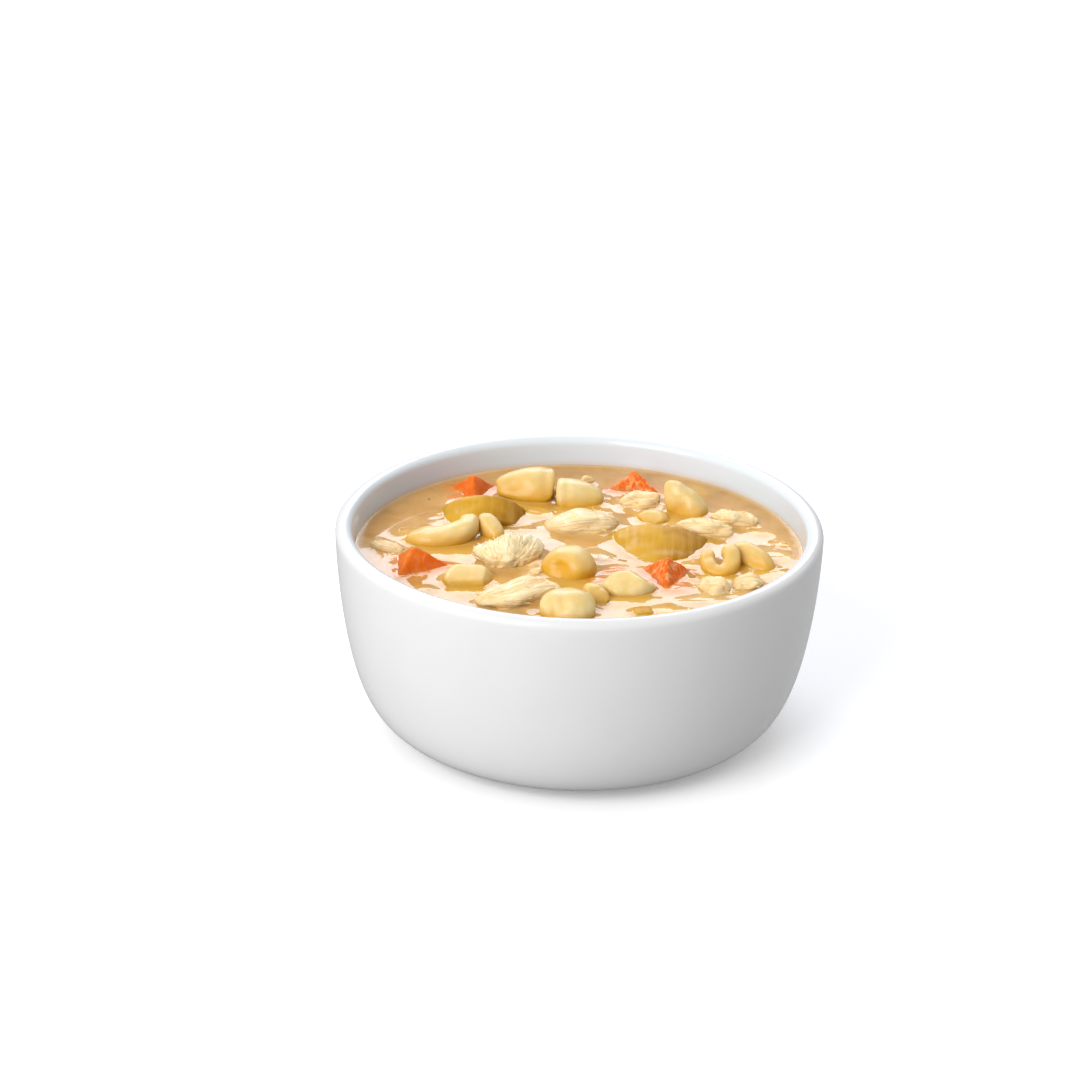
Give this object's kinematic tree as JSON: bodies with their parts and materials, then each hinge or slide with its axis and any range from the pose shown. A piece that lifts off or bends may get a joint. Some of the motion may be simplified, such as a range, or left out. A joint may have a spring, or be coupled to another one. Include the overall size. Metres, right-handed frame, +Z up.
{
  "type": "chicken noodle soup",
  "caption": "Small round white bowl of chicken noodle soup: spiral noodles, diced carrot, sliced celery and shredded chicken in clear golden broth.",
  "frame": {"origin": "on the table, under the middle of the bowl", "axes": "+Z up along the bowl's axis; -Y is the side the soup is seen from, +X to its right"},
  "size_m": [0.12, 0.12, 0.0527],
  "materials": {
    "white_glaze": "glossy white",
    "broth": "clear golden broth, wet",
    "noodle": "wet cooked egg noodle",
    "carrot": "wet cooked carrot",
    "celery": "wet cooked celery",
    "chicken": "moist shredded chicken"
  },
  "bodies": {
    "root": {"bowl": "white_glaze", "broth": "broth", "noodle_back_tall": "noodle", "noodle_back_low": "noodle", "noodle_cone": "noodle", "noodle_cone_foot": "noodle", "noodle_hook": "noodle", "noodle_hook_lobe": "noodle", "noodle_ring": "noodle", "noodle_ring_lobe": "noodle", "noodle_gem": "noodle", "noodle_shell": "noodle", "noodle_front": "noodle", "noodle_front_tip": "noodle", "noodle_lemon": "noodle", "carrot_back_left": "carrot", "carrot_front_left": "carrot", "carrot_back": "carrot", "carrot_front": "carrot", "celery_left": "celery", "celery_right": "celery", "celery_front": "celery", "chicken_middle": "chicken", "chicken_smooth": "chicken", "chicken_front": "chicken", "chicken_back": "chicken", "chicken_back_tip": "chicken", "chicken_right_back": "chicken", "chicken_right": "chicken", "chicken_front_right": "chicken", "chicken_far_right": "chicken", "chicken_far_left": "chicken"}
  },
  "joints": []
}
